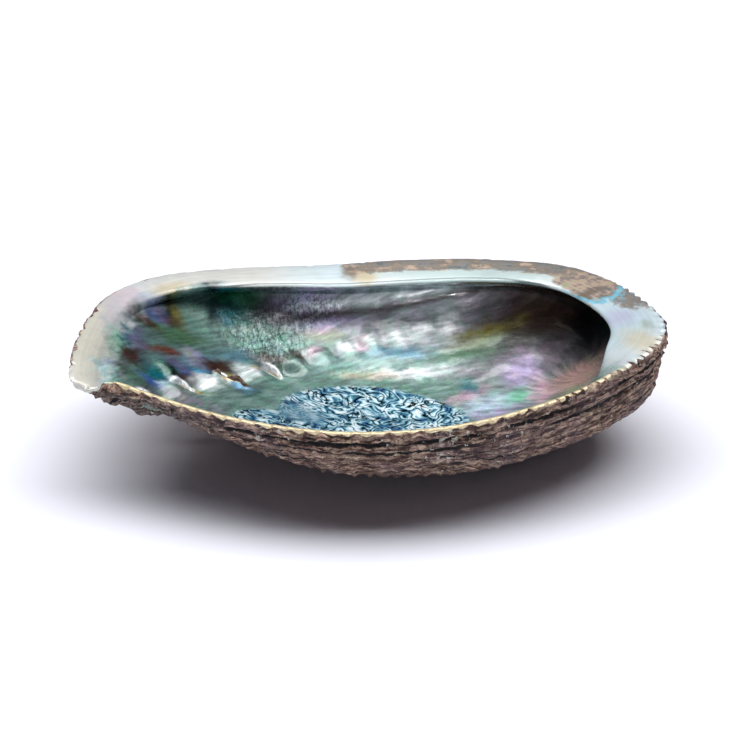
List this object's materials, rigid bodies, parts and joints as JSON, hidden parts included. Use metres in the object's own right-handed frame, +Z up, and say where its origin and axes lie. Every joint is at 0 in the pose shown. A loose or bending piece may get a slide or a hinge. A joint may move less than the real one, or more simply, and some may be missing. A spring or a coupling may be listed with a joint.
{
  "type": "abalone shell",
  "caption": "Empty abalone shell lying on its back as an open oval dish: a plain scalloped lip, a broad inner shelf on the far side, and a curved row of breathing holes.",
  "frame": {"origin": "on the surface the shell rests on, under the middle of the shell's box", "axes": "+X along the shell's length, towards the end with the spire; +Y across it, away from the plain lip towards the shelf; +Z up, out of the mouth"},
  "size_m": [0.157, 0.1194, 0.0352],
  "materials": {
    "shell": "iridescent mother of pearl inside, rough brown-grey ribbed outside"
  },
  "bodies": {
    "root": {"abalone_shell": "shell"}
  },
  "joints": []
}
